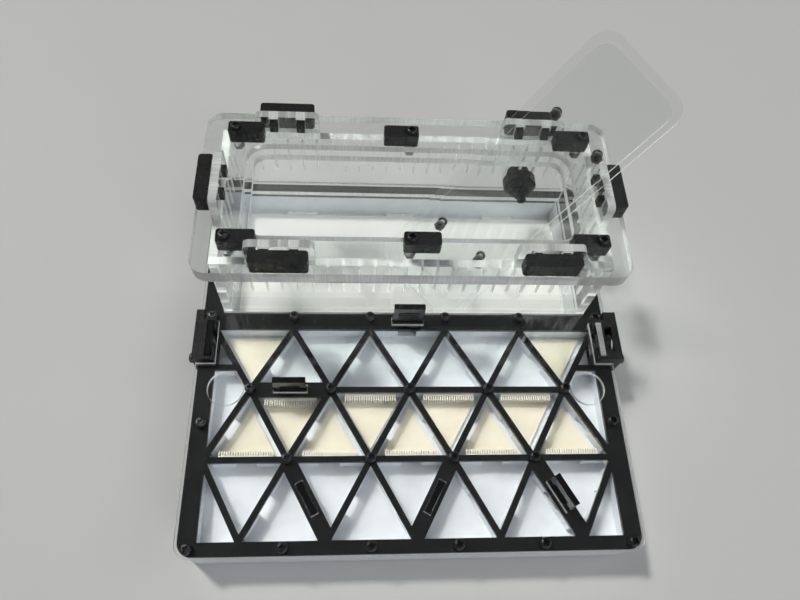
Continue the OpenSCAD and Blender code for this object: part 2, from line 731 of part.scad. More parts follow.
module box_floor() {
    color("white") union() {
        translate([0, box_mid_y, recess_z]) linear_extrude(floor_t)
            square([box_w - 2 * wall_t - 0.2, box_d - 2 * wall_t - 0.2], center = true);
        intersection() {
            floor_tabs(0);
            translate([0, box_mid_y, recess_z - 1]) linear_extrude(floor_t + 2)
                square([box_w - 0.2, box_d - 0.2], center = true);
        }
    }
}

// Corner fingers: every second length of the height, from the recess up
module fingers(x0, x1, y0, y1, first) {
    n = floor((wall_top - recess_z) / finger_l);
    for (i = [first : 2 : n - 1])
        block([x0, y0, recess_z + i * finger_l], [x1, y1, min(wall_top, recess_z + (i + 1) * finger_l)]);
}

// Ear drawn in the X-Z plane with its middle at x, from the wall's top edge up
module ear_outline(x) {
    r = 3;
    top = ring_top + ear_rise;
    translate([x - ear_w / 2, wall_top - 1]) square([ear_w, top - wall_top + 1 - r]);
    translate([x - ear_w / 2 + r, wall_top - 1]) square([ear_w - 2 * r, top - wall_top + 1]);
    for (s = [-1, 1]) translate([x + s * (ear_w / 2 - r), top - r]) circle(r);
}

module ear_slots(x) {
    for (s = [-1, 1])
        translate([x + s * ear_slot_x - ear_slot_w / 2, ring_top + ear_slot_z])
            square([ear_slot_w, ear_slot_h]);
}

// Upright sheet in the X-Z plane: width, ear places, vent slits each side of the middle
module wall_outline(w, ears, slits) {
    difference() {
        union() {
            translate([-w / 2, recess_z + film]) square([w, wall_top - recess_z - film]);
            for (x = ears) ear_outline(x);
        }
        for (x = ears) ear_slots(x);
        for (i = [0 : slits - 1], s = [-1, 1])
            translate([s * (i + 0.5) * slit_pitch - slit_w / 2, wall_top - slit_top - slit_h])
                square([slit_w, slit_h]);
    }
}

long_slits = floor((box_w / 2 - wall_t - 2) / slit_pitch);
short_slits = floor((box_d / 2 - wall_t - 2) / slit_pitch);

// Front or back wall, with its outer face on y
module long_wall(y) {
    difference() {
        translate([0, y + wall_t, 0]) rotate([90, 0, 0]) linear_extrude(wall_t)
            wall_outline(box_w, [-ear_x, ear_x], long_slits);
        for (s = [-1, 1])
            fingers(s < 0 ? -box_w / 2 - 1 : box_w / 2 - wall_t - touch / 2,
                    s < 0 ? -box_w / 2 + wall_t + touch / 2 : box_w / 2 + 1, y - 1, y + wall_t + 1, 1);
        floor_tabs(touch / 2);
    }
}

module wall_front() {
    color("azure", 0.35) difference() {
        long_wall(box_front_y);
        block([-door_w / 2, box_front_y - 1, lattice_z - door_h],
              [door_w / 2, box_front_y + wall_t + 1, lattice_z]);
    }
}

module wall_back() {
    color("azure", 0.35) difference() {
        long_wall(box_back_y - wall_t);
        translate([rear_port_x, box_back_y + 1, top_z + rear_port_z]) rotate([90, 0, 0])
            cylinder(d = rear_neck_d + 0.2, h = wall_t + 2);
    }
}

// Side wall between the long walls, with its outer face on the side s
module side_wall(s) {
    color("azure", 0.35) difference() {
        union() {
            translate([s < 0 ? -box_w / 2 : box_w / 2 - wall_t, box_mid_y, 0]) rotate([90, 0, 90])
                linear_extrude(wall_t) wall_outline(box_d - 2 * wall_t - touch, [0], short_slits);
            for (e = [-1, 1])
                fingers(s < 0 ? -box_w / 2 : box_w / 2 - wall_t, s < 0 ? -box_w / 2 + wall_t : box_w / 2,
                        box_mid_y + (e < 0 ? -box_d / 2 : box_d / 2 - wall_t - 1),
                        box_mid_y + (e < 0 ? -box_d / 2 + wall_t + 1 : box_d / 2), 1);
        }
        floor_tabs(touch / 2);
        // trims the fingers clear of the long walls
        for (e = [-1, 1], i = [0 : floor((wall_top - recess_z) / finger_l)]) {
            y = box_mid_y + e * (box_d - wall_t) / 2;
            z = recess_z + i * finger_l;
            block([s * box_w / 2 - wall_t - 1, y - wall_t / 2 - touch / 2, z - touch / 2],
                  [s * box_w / 2 + wall_t + 1, y + wall_t / 2 + touch / 2, z + touch / 2]);
        }
    }
}

module wall_left() { side_wall(-1); }
module wall_right() { side_wall(1); }

// Slots in the ring for the ears, and holes for the turn buttons' screws
module ring_cuts(z) {
    gap = 0.2;
    for (x = [-ear_x, ear_x], y = [box_front_y + wall_t / 2, box_back_y - wall_t / 2])
        translate([x, y, z]) linear_extrude(ring_t + 2)
            square([ear_w + 2 * gap, wall_t + 2 * gap], center = true);
    for (s = [-1, 1])
        translate([s * (box_w - wall_t) / 2, box_mid_y, z]) linear_extrude(ring_t + 2)
            square([wall_t + 2 * gap, ear_w + 2 * gap], center = true);
    for (b = button_places)
        translate([b[0], b[1], z]) cylinder(d = screw_d + 0.1, h = ring_t + 2);
}

module ring_sheet(z, inset) {
    color("azure", 0.35) difference() {
        translate([0, box_mid_y, 0]) sheet(ring_w, ring_d, ring_corner_r, z + film, ring_t - film);
        translate([0, box_mid_y, 0])
            sheet(mouth_w - 2 * inset, mouth_d - 2 * inset, mouth_r - inset, z - 1, ring_t + 2);
        ring_cuts(z - 1);
    }
}

module ring_lower() { ring_sheet(wall_top, ledge_w); }
module ring_upper() { ring_sheet(wall_top + ring_t, 0); }

// ---- Clips ----

tenon_w = ear_slot_w - 2 * tenon_gap;
tenon_h = ear_slot_h - tenon_low - 2 * tenon_gap;
tenon_z = ring_top + ear_slot_z + tenon_gap;

// Clip for an ear whose outer face looks along -Y from the origin
module clip() {
    color("black") {
        translate([0, -clip_off - clip_d / 2, 0]) sheet(clip_w, clip_d, 1.6, ring_top + film, clip_h);
        for (s = [-1, 1])
            block([s * ear_slot_x - tenon_w / 2, -clip_off - eps, tenon_z],
                  [s * ear_slot_x + tenon_w / 2, wall_t + tenon_out, tenon_z + tenon_h]);
    }
}

module long_clip(x, s) {
    translate([x, s < 0 ? box_front_y : box_back_y, 0]) rotate([0, 0, s < 0 ? 0 : 180]) clip();
}

module side_clip(s) {
    translate([s * box_w / 2, box_mid_y, 0]) rotate([0, 0, s * 90]) clip();
}

module clip_front_left() { long_clip(-ear_x, -1); }
module clip_front_right() { long_clip(ear_x, -1); }
module clip_back_left() { long_clip(-ear_x, 1); }
module clip_back_right() { long_clip(ear_x, 1); }
module clip_left() { side_clip(-1); }
module clip_right() { side_clip(1); }

// ---- Turn buttons ----

// Pivot of each button: [x, y, direction in which its block points]
button_places = [[-button_x, button_front_y, 1], [-button_mid_front, button_front_y, 1],
                 [button_x, button_front_y, -1], [-button_x, button_back_y, 1],
                 [-button_mid_back, button_back_y, -1], [button_x, button_back_y, -1]];

module button(b) {
    color("black") translate([b[0], b[1], ring_top + film]) difference() {
        translate([b[2] * (button_l / 2 - button_pivot), 0, 0]) sheet(button_l, button_w, 1.2, 0, button_h);
        translate([0, 0, -1]) cylinder(d = screw_d + 0.1, h = button_h + 2);
    }
}

module button_front_left() { button(button_places[0]); }
module button_front_middle() { button(button_places[1]); }
module button_front_right() { button(button_places[2]); }
module button_back_left() { button(button_places[3]); }
module button_back_middle() { button(button_places[4]); }
module button_back_right() { button(button_places[5]); }

module button_screws() {
    color("dimgray") for (b = button_places)
        translate([b[0], b[1], ring_top + button_h + 2 * film]) pan_screw(button_screw_l, 5 * b[0]);
}

module button_nuts() {
    color("dimgray") for (b = button_places)
        translate([b[0], b[1], wall_top - nut_h]) hex_nut(nut_across, screw_d + 0.1, nut_h);
}

// ---- Rear water port ----

module rear_place() {
    translate([rear_port_x, box_back_y - wall_t, top_z + rear_port_z]) rotate([90, 0, 0]) children();
}

// Flange inside the box with a neck that passes out through the wall
module rear_port_body() {
    bevel = 2.5;
    color("black") rear_place() difference() {
        union() {
            rotate_extrude() polygon([[0, film], [rear_flange_d / 2, film],
                [rear_flange_d / 2, rear_flange_l - bevel], [rear_flange_d / 2 - bevel, rear_flange_l],
                [0, rear_flange_l]]);
            translate([0, 0, -wall_t - rear_neck_out])
                cylinder(d = rear_neck_d, h = wall_t + rear_neck_out + 1);
        }
        translate([0, 0, -wall_t - rear_neck_out - 1])
            cylinder(d = rear_bore_d, h = wall_t + rear_neck_out + rear_flange_l + 2);
    }
}

module rear_port_nut() {
    color("black") rear_place() translate([0, 0, -wall_t - rear_nut_h - touch])
        hex_nut(rear_nut_across, rear_neck_d + 0.1, rear_nut_h);
}

// Hexagonal cap with a tube stub, on the flange inside the box
module rear_port_cap() {
    color("dimgray") rear_place() translate([0, 0, rear_flange_l + film]) difference() {
        union() {
            cylinder(d = rear_cap_d, h = rear_cap_h, $fn = 6);
            cylinder(d = rear_stub_d, h = rear_cap_h + rear_stub_l);
        }
        translate([0, 0, -1]) cylinder(d = rear_bore_d, h = rear_cap_h + rear_stub_l + 2);
    }
}

// ---- Lid, taken off and leaning in the box ----

// Lowest corner on the floor, and the long edge on the right-hand end of the ring's mouth
module lid_place() {
    translate(lid_foot) rotate([lid_roll, -lid_rise, lid_bearing]) children();
}

lid_bolt_spots = [for (x = [lid_bolt_end, lid_l - lid_bolt_end], s = [-1, 1])
    [x, lid_w / 2 + s * lid_bolt_gap / 2]];

module lid_layer(inset, z) {
    color("azure", 0.35) lid_place() difference() {
        translate([lid_l / 2, lid_w / 2, 0])
            sheet(lid_l - 2 * inset, lid_w - 2 * inset, lid_r - inset / 2, z, lid_t - film);
        for (p = lid_bolt_spots)
            translate([p[0], p[1], z - 1]) cylinder(d = screw_d + 0.1, h = lid_t + 2);
    }
}

module lid_sheet() { lid_layer(0, 0); }
module lid_step_sheet() { lid_layer(lid_step, lid_t); }

module lid_bolts() {
    color("dimgray") lid_place() for (p = lid_bolt_spots)
        translate([p[0], p[1], -film]) rotate([180, 0, 0]) pan_screw(2 * lid_t + nut_h + bolt_over, p[0]);
}

module lid_nuts() {
    color("dimgray") lid_place() for (p = lid_bolt_spots)
        translate([p[0], p[1], 2 * lid_t]) hex_nut(nut_across, screw_d + 0.1, nut_h);
}

base_block();
chamber_frame();
wall_strips();
gate_blocks();
screw_posts();
moist_pads();
mesh_strips();
lattice_sheet();
cover_sheet();
nest_screws();
gate_upper();
gate_exit();
gate_front_left();
gate_front_middle();
gate_front_right();
port_block_left();
port_block_right();
port_screws();
shutter_left();
shutter_right();
fill_plug_left();
fill_plug_right();
box_floor();
wall_front();
wall_back();
wall_left();
wall_right();
ring_lower();
ring_upper();
clip_front_left();
clip_front_right();
clip_back_left();
clip_back_right();
clip_left();
clip_right();
button_front_left();
button_front_middle();
button_front_right();
button_back_left();
button_back_middle();
button_back_right();
button_screws();
button_nuts();
rear_port_body();
rear_port_nut();
rear_port_cap();
lid_sheet();
lid_step_sheet();
lid_bolts();
lid_nuts();
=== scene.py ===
import math
import bmesh
import bpy
from mathutils import Matrix, Vector


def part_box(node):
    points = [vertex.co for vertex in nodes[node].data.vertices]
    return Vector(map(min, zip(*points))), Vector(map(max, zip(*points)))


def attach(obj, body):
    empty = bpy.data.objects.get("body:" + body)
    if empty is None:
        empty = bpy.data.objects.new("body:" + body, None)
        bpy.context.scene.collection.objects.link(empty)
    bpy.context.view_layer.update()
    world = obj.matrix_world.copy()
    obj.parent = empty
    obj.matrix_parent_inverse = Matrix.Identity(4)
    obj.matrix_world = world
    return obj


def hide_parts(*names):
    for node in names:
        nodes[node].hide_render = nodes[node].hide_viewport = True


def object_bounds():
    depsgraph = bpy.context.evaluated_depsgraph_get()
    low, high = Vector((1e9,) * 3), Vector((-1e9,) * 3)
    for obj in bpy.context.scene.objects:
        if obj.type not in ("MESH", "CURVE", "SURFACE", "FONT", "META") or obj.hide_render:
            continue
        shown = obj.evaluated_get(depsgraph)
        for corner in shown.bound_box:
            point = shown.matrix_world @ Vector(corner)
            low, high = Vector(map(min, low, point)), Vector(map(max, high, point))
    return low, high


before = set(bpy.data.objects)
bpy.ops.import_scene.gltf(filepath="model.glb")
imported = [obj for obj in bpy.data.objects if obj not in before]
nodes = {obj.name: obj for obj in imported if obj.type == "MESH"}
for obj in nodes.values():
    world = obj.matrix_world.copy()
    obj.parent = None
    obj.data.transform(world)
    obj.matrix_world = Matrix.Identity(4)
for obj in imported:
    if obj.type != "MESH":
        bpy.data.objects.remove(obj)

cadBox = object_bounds()
print("frame loaded,", len(nodes), "parts")


# helpers for node materials

def newMaterial(name):
    mat = bpy.data.materials.new(name)
    mat.use_nodes = True
    mat.node_tree.nodes.clear()
    return mat, mat.node_tree


def addNode(tree, kind, inputs=None, **settings):
    # an input is a plain value, or another node's output to link
    n = tree.nodes.new(kind)
    for key, value in settings.items():
        setattr(n, key, value)
    for key, value in (inputs or {}).items():
        if isinstance(value, bpy.types.NodeSocket):
            tree.links.new(value, n.inputs[key])
        else:
            n.inputs[key].default_value = value
    return n


def calc(tree, operation, *terms):
    return addNode(tree, "ShaderNodeMath", dict(enumerate(terms)), operation=operation).outputs[0]


def ramp(tree, source, stops):
    # stops are (place, value) pairs, grey
    r = addNode(tree, "ShaderNodeValToRGB", {"Fac": source})
    ends = r.color_ramp.elements
    ends[0].position, ends[1].position = stops[0][0], stops[-1][0]
    ends[0].color = (*[stops[0][1]] * 3, 1)
    ends[1].color = (*[stops[-1][1]] * 3, 1)
    for place, value in stops[1:-1]:
        ends.new(place).color = (*[value] * 3, 1)
    return r.outputs["Color"]


def mixColour(tree, amount, low, high):
    inputs = {"Factor": amount, "A": (*low, 1), "B": (*high, 1)}
    return addNode(tree, "ShaderNodeMix", inputs, data_type="RGBA").outputs["Result"]


def mixShader(tree, amount, low, high):
    return addNode(tree, "ShaderNodeMixShader", {0: amount, 1: low, 2: high}).outputs["Shader"]


def mapRange(tree, source, ends):
    inputs = {"Value": source, "To Min": ends[0], "To Max": ends[1]}
    return addNode(tree, "ShaderNodeMapRange", inputs).outputs["Result"]


def objectPlace(tree, scale=(1, 1, 1), turn=(0, 0, 0)):
    c = addNode(tree, "ShaderNodeTexCoord")
    m = addNode(tree, "ShaderNodeMapping", {
        "Vector": c.outputs["Object"], "Scale": scale, "Rotation": [math.radians(a) for a in turn]})
    return m.outputs["Vector"]


def noise(tree, scale, detail, stretch=(1, 1, 1), roughness=0.5):
    n = addNode(tree, "ShaderNodeTexNoise", {
        "Vector": objectPlace(tree, stretch), "Scale": scale, "Detail": detail, "Roughness": roughness})
    return n.outputs["Fac"]


def facing(tree, axis):
    # how squarely a face looks along an axis, from 0 to 1
    coords = addNode(tree, "ShaderNodeTexCoord")
    along = addNode(tree, "ShaderNodeVectorMath", {0: coords.outputs["Normal"], 1: axis},
                    operation="DOT_PRODUCT")
    return calc(tree, "ABSOLUTE", along.outputs["Value"])


def bump(tree, height, strength, distance):
    b = addNode(tree, "ShaderNodeBump", {"Height": height, "Strength": strength, "Distance": distance})
    return b.outputs["Normal"]


def principled(tree, inputs):
    return addNode(tree, "ShaderNodeBsdfPrincipled", inputs).outputs["BSDF"]


def finishMaterial(tree, shader):
    addNode(tree, "ShaderNodeOutputMaterial", {"Surface": shader})


# materials

faceLimit = 0.7     # how squarely a face has to look along an axis to count as facing it

clearSheetLook = {
    "tint": (0.985, 0.995, 0.99, 1),
    "ior": 1.49,
    "roughness": (0.0, 0.16),              # of the faces and of the cut edges
    "frost": (0.94, 0.955, 0.945, 1),      # the cut edges are whitish
    "frostRoughness": 0.45,
    "frostThrough": 0.2,
    "frostShare": (0.35, 0.80),
    "cutLines": 1500,
    "cutStretch": 0.97,                    # the cut's lines run through the thickness
    "cutStrength": 0.35,
    "cutDepth": 0.0004,
    "shadow": (0.955, 0.965, 0.96, 1),
}


def makeClearSheet(name, faceAxis, look=clearSheetLook):
    # faceAxis is the direction of the sheet's thickness
    mat, tree = newMaterial(name)
    edge = calc(tree, "LESS_THAN", facing(tree, faceAxis), faceLimit)
    marks = noise(tree, look["cutLines"], 2, [1 - look["cutStretch"] * abs(a) for a in faceAxis])
    normal = bump(tree, calc(tree, "MULTIPLY", marks, edge), look["cutStrength"], look["cutDepth"])
    glass = principled(tree, {
        "Base Color": look["tint"], "IOR": look["ior"], "Transmission Weight": 1.0,
        "Roughness": mapRange(tree, edge, look["roughness"]), "Normal": normal})
    frost = principled(tree, {
        "Base Color": look["frost"], "Roughness": look["frostRoughness"],
        "Transmission Weight": look["frostThrough"], "Normal": normal})
    share = calc(tree, "MULTIPLY", mapRange(tree, marks, look["frostShare"]), edge)
    sheet = mixShader(tree, share, glass, frost)
    clear = addNode(tree, "ShaderNodeBsdfTransparent", {"Color": look["shadow"]})
    path = addNode(tree, "ShaderNodeLightPath")
    finishMaterial(tree, mixShader(tree, path.outputs["Is Shadow Ray"], sheet, clear.outputs["BSDF"]))
    return mat


solidSheetLook = {
    "black": {"colours": ((0.004, 0.0044, 0.005), (0.009, 0.0095, 0.010)),
              "roughness": (0.06, 0.13), "cloud": 40, "coat": 0.4},
    "white": {"colours": ((0.79, 0.79, 0.77), (0.83, 0.83, 0.81)),
              "roughness": (0.12, 0.22), "cloud": 25, "coat": 0.0},
}


def makeSolidSheet(name, look):
    mat, tree = newMaterial(name)
    cloud = noise(tree, look["cloud"], 4)
    finishMaterial(tree, principled(tree, {
        "Base Color": mixColour(tree, cloud, *look["colours"]),
        "Roughness": mapRange(tree, cloud, look["roughness"]),
        "IOR": 1.49, "Coat Weight": look["coat"], "Coat Roughness": 0.03}))
    return mat


printLook = {
    "white": {"colour": (0.76, 0.785, 0.825), "shade": (0.69, 0.715, 0.76), "roughness": (0.40, 0.55),
              "layer": 0.0004, "hatch": 0.0006, "depth": 0.00003, "strength": 0.25,
              "grit": 0.3, "specular": 0.45},
    "black": {"colour": (0.0035, 0.0037, 0.004), "shade": (0.012, 0.0125, 0.013), "roughness": (0.20, 0.34),
              "layer": 0.0007, "hatch": 0.0011, "depth": 0.0004, "strength": 1.0,
              "grit": 0.35, "specular": 0.45},
    "gate": {"colour": (0.0035, 0.0037, 0.004), "shade": (0.010, 0.0105, 0.011), "roughness": (0.07, 0.13),
             "layer": 0.0016, "hatch": 0.0011, "depth": 0.00004, "strength": 0.4,
             "grit": 0.15, "specular": 0.6},
}
printGrain = {"cloud": 180, "cloudEnds": [(0.3, 0), (0.7, 1)], "grit": 1800, "hatchTurn": 45}
bandSpacing = 0.31416     # metres between a wave texture's bands where its scale is 1


def printLines(tree, pitch, direction, turn=0):
    wave = addNode(tree, "ShaderNodeTexWave", {
        "Vector": objectPlace(tree, turn=(0, 0, turn)), "Scale": bandSpacing / pitch,
        "Distortion": 0.3, "Detail": 1}, bands_direction=direction)
    return wave.outputs["Fac"]


def makePrint(name, look, grain=printGrain):
    # printed plastic: layers up the sides, slanting passes on the top, a little cloudiness
    mat, tree = newMaterial(name)
    top = calc(tree, "GREATER_THAN", facing(tree, (0, 0, 1)), faceLimit)
    passes = addNode(tree, "ShaderNodeMix", {
        "Factor": top, "A": printLines(tree, look["layer"], "Z"),
        "B": printLines(tree, look["hatch"], "X", grain["hatchTurn"])}, data_type="FLOAT")
    relief = addNode(tree, "ShaderNodeMix", {
        "Factor": look["grit"], "A": passes.outputs["Result"],
        "B": noise(tree, grain["grit"], 3)}, data_type="FLOAT")
    cloud = noise(tree, grain["cloud"], 5)
    finishMaterial(tree, principled(tree, {
        "Specular IOR Level": look["specular"],
        "Base Color": mixColour(tree, ramp(tree, cloud, grain["cloudEnds"]), look["shade"], look["colour"]),
        "Roughness": mapRange(tree, cloud, look["roughness"]),
        "Normal": bump(tree, relief.outputs["Result"], look["strength"], look["depth"])}))
    return mat


padLook = {
    "pad": {"colour": (0.84, 0.78, 0.65), "shade": (0.78, 0.715, 0.58), "grain": 900, "roughness": 0.9},
    "comb": {"colour": (0.86, 0.83, 0.74), "shade": (0.80, 0.76, 0.66), "grain": 700, "roughness": 0.6},
}
padGrain = {"damp": 60, "dampEnds": [(0.35, 0), (0.65, 1)], "poreStrength": 0.4, "poreDepth": 0.0003}


def makePad(name, look, grain=padGrain):
    mat, tree = newMaterial(name)
    damp = ramp(tree, noise(tree, grain["damp"], 3), grain["dampEnds"])
    pores = noise(tree, look["grain"], 6, roughness=0.7)
    finishMaterial(tree, principled(tree, {
        "Base Color": mixColour(tree, damp, look["shade"], look["colour"]),
        "Roughness": look["roughness"],
        "Normal": bump(tree, pores, grain["poreStrength"], grain["poreDepth"])}))
    return mat


steelLook = {
    "colour": (0.035, 0.036, 0.04),
    # lighter colour on the pointed edges: partly wear, partly a painted highlight on the screw rims
    "wearAndHighlight": (0.28, 0.28, 0.28),
    "wearAndHighlightEnds": [(0.52, 0), (0.62, 1)],    # over the pointiness of the edges: the lighter edges are partly wear, partly a painted highlight
    "roughness": (0.24, 0.40),
    "metallic": 0.85,
    "grain": 1200,
    "grainStrength": 0.15,
    "grainDepth": 0.0001,
}


def makeBlackSteel(look=steelLook):
    mat, tree = newMaterial("blackSteel")
    grain = noise(tree, look["grain"], 4)
    geo = addNode(tree, "ShaderNodeNewGeometry")
    # pointed edges turn lighter: partly wear, partly a painted highlight
    wearAndHighlight = ramp(tree, geo.outputs["Pointiness"], look["wearAndHighlightEnds"])
    finishMaterial(tree, principled(tree, {
        "Metallic": look["metallic"],
        "Base Color": mixColour(tree, wearAndHighlight, look["colour"], look["wearAndHighlight"]),
        "Roughness": mapRange(tree, grain, look["roughness"]),
        "Normal": bump(tree, grain, look["grainStrength"], look["grainDepth"])}))
    return mat


lidLean = {"bearing": 23.7, "pitch": -50, "roll": 33.5}     # degrees about Z, Y and X


def lidFaceAxis(lean=lidLean):
    turns = [Matrix.Rotation(math.radians(lean[key]), 3, axis)
             for key, axis in (("bearing", "Z"), ("pitch", "Y"), ("roll", "X"))]
    return tuple(turns[0] @ turns[1] @ turns[2] @ Vector((0, 0, 1)))


clearFlat = makeClearSheet("clearSheetFlat", (0, 0, 1))
clearCover = makeClearSheet("clearSheetCover", (0, 0, 1), {**clearSheetLook, "frostShare": (0.5, 1.0)})
clearFront = makeClearSheet("clearSheetFront", (0, 1, 0))
clearSide = makeClearSheet("clearSheetSide", (1, 0, 0))
clearLid = makeClearSheet("clearSheetLid", lidFaceAxis(), {**clearSheetLook, "frostShare": (0.7, 1.0)})
blackSheet = makeSolidSheet("blackSheet", solidSheetLook["black"])
whiteSheet = makeSolidSheet("whiteSheet", solidSheetLook["white"])
whitePrint = makePrint("whitePrint", printLook["white"])
blackPrint = makePrint("blackPrint", printLook["black"])
gatePrint = makePrint("gatePrint", printLook["gate"])
moistPad = makePad("moistPad", padLook["pad"])
comb = makePad("comb", padLook["comb"])
blackSteel = makeBlackSteel()

# what isn't listed is printed black: clips, turn buttons, ports
nodeLooks = {
    clearFlat: ["ring_lower", "ring_upper"],
    clearCover: ["cover_sheet", "fill_plug_left", "fill_plug_right"],
    clearFront: ["wall_front", "wall_back"],
    clearSide: ["wall_left", "wall_right", "shutter_right"],
    clearLid: ["lid_sheet", "lid_step_sheet"],
    blackSheet: ["lattice_sheet"],
    whitePrint: ["base_block", "chamber_frame", "wall_strips", "gate_blocks", "screw_posts"],
    moistPad: ["moist_pads"],
    comb: ["mesh_strips"],
    gatePrint: ["gate_upper", "gate_exit", "gate_front_left", "gate_front_middle", "gate_front_right"],
    whiteSheet: ["box_floor"],
    blackSteel: ["nest_screws", "port_screws", "button_screws", "button_nuts", "lid_bolts", "lid_nuts"],
}
lookOf = {name: mat for mat, names in nodeLooks.items() for name in names}
for name, obj in nodes.items():
    for s in obj.material_slots:
        s.material = lookOf.get(name, blackPrint)
print("materials done")


# helpers for pieces

def meshPiece(name, bm):
    mesh = bpy.data.meshes.new(name)
    bm.to_mesh(mesh)
    bm.free()
    piece = bpy.data.objects.new(name, mesh)
    bpy.context.scene.collection.objects.link(piece)
    return piece


def boxPiece(low, high, name="block"):
    bm = bmesh.new()
    bmesh.ops.create_cube(bm, size=1)
    for v in bm.verts:
        v.co = [low[i] + (v.co[i] + 0.5) * (high[i] - low[i]) for i in range(3)]
    return meshPiece(name, bm)


def roundEdges(piece, width):
    bevel = piece.modifiers.new("edges", "BEVEL")
    bevel.width, bevel.segments, bevel.limit_method = width, 2, "ANGLE"


def carve(piece, steps):
    # joins or cuts other pieces, one after another, and keeps the outcome as the piece's mesh
    for operation, other in steps:
        b = piece.modifiers.new("carve", "BOOLEAN")
        b.operation, b.solver, b.object = operation, "EXACT", other
    bpy.context.view_layer.update()
    done = bpy.data.meshes.new_from_object(piece.evaluated_get(bpy.context.evaluated_depsgraph_get()))
    piece.modifiers.clear()
    piece.data = done
    for operation, other in steps:
        bpy.data.objects.remove(other)
    return piece


# exit gate: taller than the others, with a ribbed panel on its front

exitGate = {
    "top": 0.0415,         # height of its upper edge at rest, drawn up
    "panel": 0.0053,       # half width of the ribbed panel
    "panelLow": 0.0262,
    "ribs": 5,
    "pitch": 0.0024,
    "ribHeight": 0.0013,
    "recess": 0.0007,
    "round": 0.00025,
}


def steppedPlate(name, xs, zs, front, back):
    # plate with a stepped front: front(column, row) gives the Y of each cell's face
    bm = bmesh.new()

    def face(*corners):
        bm.faces.new([bm.verts.new(c) for c in corners])

    for i, (x0, x1) in enumerate(zip(xs, xs[1:])):
        for j, (z0, z1) in enumerate(zip(zs, zs[1:])):
            y = front(i, j)
            right = front(i + 1, j) if i + 2 < len(xs) else back
            upper = front(i, j + 1) if j + 2 < len(zs) else back
            face((x0, y, z0), (x1, y, z0), (x1, y, z1), (x0, y, z1))
            face((x1, back, z0), (x0, back, z0), (x0, back, z1), (x1, back, z1))
            if right != y:
                face((x1, y, z0), (x1, right, z0), (x1, right, z1), (x1, y, z1))
            if upper != y:
                face((x0, y, z1), (x1, y, z1), (x1, upper, z1), (x0, upper, z1))
            if i == 0:
                face((x0, back, z0), (x0, y, z0), (x0, y, z1), (x0, back, z1))
            if j == 0:
                face((x0, back, z0), (x1, back, z0), (x1, y, z0), (x0, y, z0))
    bmesh.ops.remove_doubles(bm, verts=bm.verts, dist=1e-6)
    bmesh.ops.recalc_face_normals(bm, faces=bm.faces)
    return meshPiece(name, bm)


def makeExitGate(look=exitGate):
    low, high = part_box("gate_exit")
    starts = [look["panelLow"] + k * look["pitch"] for k in range(look["ribs"] + 1)]
    hollow = look["pitch"] - look["ribHeight"]
    zs = [low[2]] + [z for start in starts[:-1] for z in (start, start + hollow)] + [starts[-1], look["top"]]
    xs = [low[0], -look["panel"], look["panel"], high[0]]

    def front(column, row):
        sunk = column == 1 and row in range(1, 2 * look["ribs"], 2)
        return low[1] + (look["recess"] if sunk else 0)

    gate = steppedPlate("exitGate", xs, zs, front, high[1])
    roundEdges(gate, look["round"])
    gate.data.materials.append(gatePrint)
    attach(gate, "gate_exit")
    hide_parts("gate_exit")


makeExitGate()
print("exit gate done")


# side ports: lower than in the CAD, the right one with a pocket behind its channel

sidePort = {                   # X is the distance from the middle of the habitat
    "inner": 0.0987,
    "channel": (0.0997, 0.1033),
    "outStart": 0.1053,        # where the longer outer part starts
    "outer": {"left": 0.1094, "right": 0.1120},
    "halfLength": 0.0115,
    "tail": 0.0045,
    "bottom": 0.0125,
    "floor": 0.0005,
    "top": 0.0296,
    "channelHalf": 0.0098,
    "doorHalf": 0.0045,        # the opening towards the cells
    "pocket": (0.1045, 0.1082, -0.0065, 0.0072),     # X and Y
    "bore": {"radius": 0.0055, "height": 0.02275, "middle": 0.105, "length": 0.03, "sides": 64},
    "shutterTop": 0.0303,
    "round": 0.0003,
    "over": 0.001,             # how far a cut runs past a face
}


def boreCutter(bore):
    bm = bmesh.new()
    place = Matrix.Translation((bore["middle"], 0, bore["height"])) @ Matrix.Rotation(math.pi / 2, 4, "Y")
    bmesh.ops.create_cone(bm, cap_ends=True, segments=bore["sides"], radius1=bore["radius"],
                          radius2=bore["radius"], depth=bore["length"], matrix=place)
    return meshPiece("bore", bm)


def carvePort(side, look):
    h, outer, over = look["halfLength"], look["outer"][side], look["over"]
    floorZ, above = look["bottom"] + look["floor"], look["top"] + over
    (near, far), wide, door = look["channel"], look["channelHalf"], look["doorHalf"]
    port = boxPiece((look["inner"], -h, look["bottom"]), (outer, h, look["top"]), "portBlock_" + side)
    steps = [
        ("UNION", boxPiece((look["outStart"], 0, look["bottom"]), (outer, h + look["tail"], look["top"]))),
        ("DIFFERENCE", boxPiece((near, -wide, floorZ), (far, wide, above))),
        ("DIFFERENCE", boxPiece((look["inner"] - over, -door, floorZ), (near + over / 2, door, above))),
    ]
    if side == "right":
        x0, x1, y0, y1 = look["pocket"]
        steps.append(("DIFFERENCE", boxPiece((x0, y0, floorZ), (x1, y1, above))))
    steps.append(("DIFFERENCE", boreCutter(look["bore"])))
    return carve(port, steps)


def makeShutter(side, look):
    low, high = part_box("shutter_" + side)
    near, far = sorted(abs(c[0]) for c in (low, high))
    return boxPiece((near, low[1], low[2]), (far, high[1], look["shutterTop"]), "portShutter_" + side)


def makeSidePort(side, look=sidePort):
    # block and shutter are made on the right and mirrored for the left
    slideFinish = clearSide if side == "right" else gatePrint
    for piece, node, body, finish in [
            (carvePort(side, look), "port_block_" + side, "habitat", blackPrint),
            (makeShutter(side, look), "shutter_" + side, "shutter_" + side, slideFinish)]:
        if side == "left":
            for v in piece.data.vertices:
                v.co.x = -v.co.x
            piece.data.flip_normals()
        piece.data.materials.clear()
        piece.data.materials.append(finish)
        roundEdges(piece, look["round"])
        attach(piece, body)
        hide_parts(node)


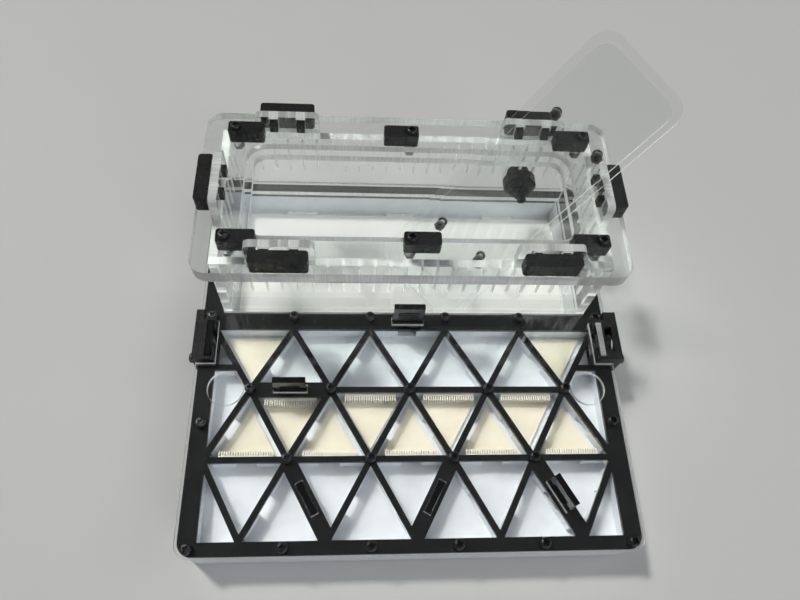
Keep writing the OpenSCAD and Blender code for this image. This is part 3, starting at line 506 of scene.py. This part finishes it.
def makePortScrews(look=sidePort):
    # the CAD's screws, the left one drawn in to its narrower block
    screws = bpy.data.objects.new("portScrews", nodes["port_screws"].data.copy())
    bpy.context.scene.collection.objects.link(screws)
    for v in screws.data.vertices:
        if v.co.x < 0:
            v.co.x += look["outer"]["right"] - look["outer"]["left"]
    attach(screws, "habitat")
    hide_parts("port_screws")


makeSidePort("left")
makeSidePort("right")
makePortScrews()
print("side ports done")


# studio

studio = {
    "floorColour": (0.72, 0.72, 0.715, 1),
    "floorRoughness": (0.55, 0.65),
    "floorGrain": 30,
    "floorSize": 60,
    "floorGap": 0.0002,
    "sky": [(0.0, 0.42), (0.06, 0.30), (0.20, 0.10), (1.0, 0.085)],   # (height above the horizon, grey)
    "lamps": [  # name, direction towards the lamp, spread in degrees, strength, colour
        ("keyLamp", (-0.52, 0.46, 1.02), 7, 1.42, (1.0, 0.985, 0.95)),
        ("frontLamp", (0.70, -1.0, 0.82), 34, 0.70, (0.95, 0.98, 1.0)),
        ("sideLamp", (1.05, 0.0, 0.72), 32, 0.34, (0.96, 0.98, 1.0)),
    ],
    "bounces": 24,          # a look through the box passes many clear faces
    "clearBounces": 32,
    "clamp": 8,
}


def makeFloor(look=studio):
    mat, tree = newMaterial("studioFloor")
    grain = noise(tree, look["floorGrain"], 3)
    finishMaterial(tree, principled(tree, {
        "Base Color": look["floorColour"], "Roughness": mapRange(tree, grain, look["floorRoughness"])}))
    bpy.ops.mesh.primitive_plane_add(size=look["floorSize"], location=(0, 0, cadBox[0][2] - look["floorGap"]))
    floor = bpy.context.object
    floor.name = "studioFloor"
    floor.data.materials.append(mat)


def makeLight(look=studio):
    world = bpy.data.worlds.new("studioWorld")
    bpy.context.scene.world = world
    world.use_nodes = True
    tree = world.node_tree
    coords = addNode(tree, "ShaderNodeTexCoord")
    parts = addNode(tree, "ShaderNodeSeparateXYZ", {0: coords.outputs["Generated"]})
    tree.links.new(ramp(tree, parts.outputs["Z"], look["sky"]), tree.nodes["Background"].inputs["Color"])
    for name, towards, spread, strength, colour in look["lamps"]:
        data = bpy.data.lights.new(name, "SUN")
        data.angle, data.energy, data.color = math.radians(spread), strength, colour
        lamp = bpy.data.objects.new(name, data)
        lamp.location = Vector(towards)
        lamp.rotation_euler = (-Vector(towards)).to_track_quat("-Z", "Y").to_euler()
        bpy.context.scene.collection.objects.link(lamp)


camera = {
    "place": (-0.03046, -0.14286, 0.34370),
    "turn": (27.783, -3.979, -1.543),      # degrees
    "lens": 30.086,
    "sensor": 36,
    "nearest": 0.01,
}


def makeCamera(look=camera):
    data = bpy.data.cameras.new("photoCamera")
    data.lens, data.sensor_width, data.sensor_fit = look["lens"], look["sensor"], "HORIZONTAL"
    data.clip_start = look["nearest"]
    cam = bpy.data.objects.new("photoCamera", data)
    cam.location = look["place"]
    cam.rotation_euler = [math.radians(a) for a in look["turn"]]
    bpy.context.scene.collection.objects.link(cam)
    bpy.context.scene.camera = cam


def setLightPaths(scene, look=studio):
    scene.view_settings.view_transform = "Standard"
    scene.cycles.max_bounces = look["bounces"]
    scene.cycles.transmission_bounces = look["bounces"]
    scene.cycles.transparent_max_bounces = look["clearBounces"]
    scene.cycles.sample_clamp_indirect = look["clamp"]


makeFloor()
makeLight()
makeCamera()
setLightPaths(bpy.context.scene)
print("studio done")
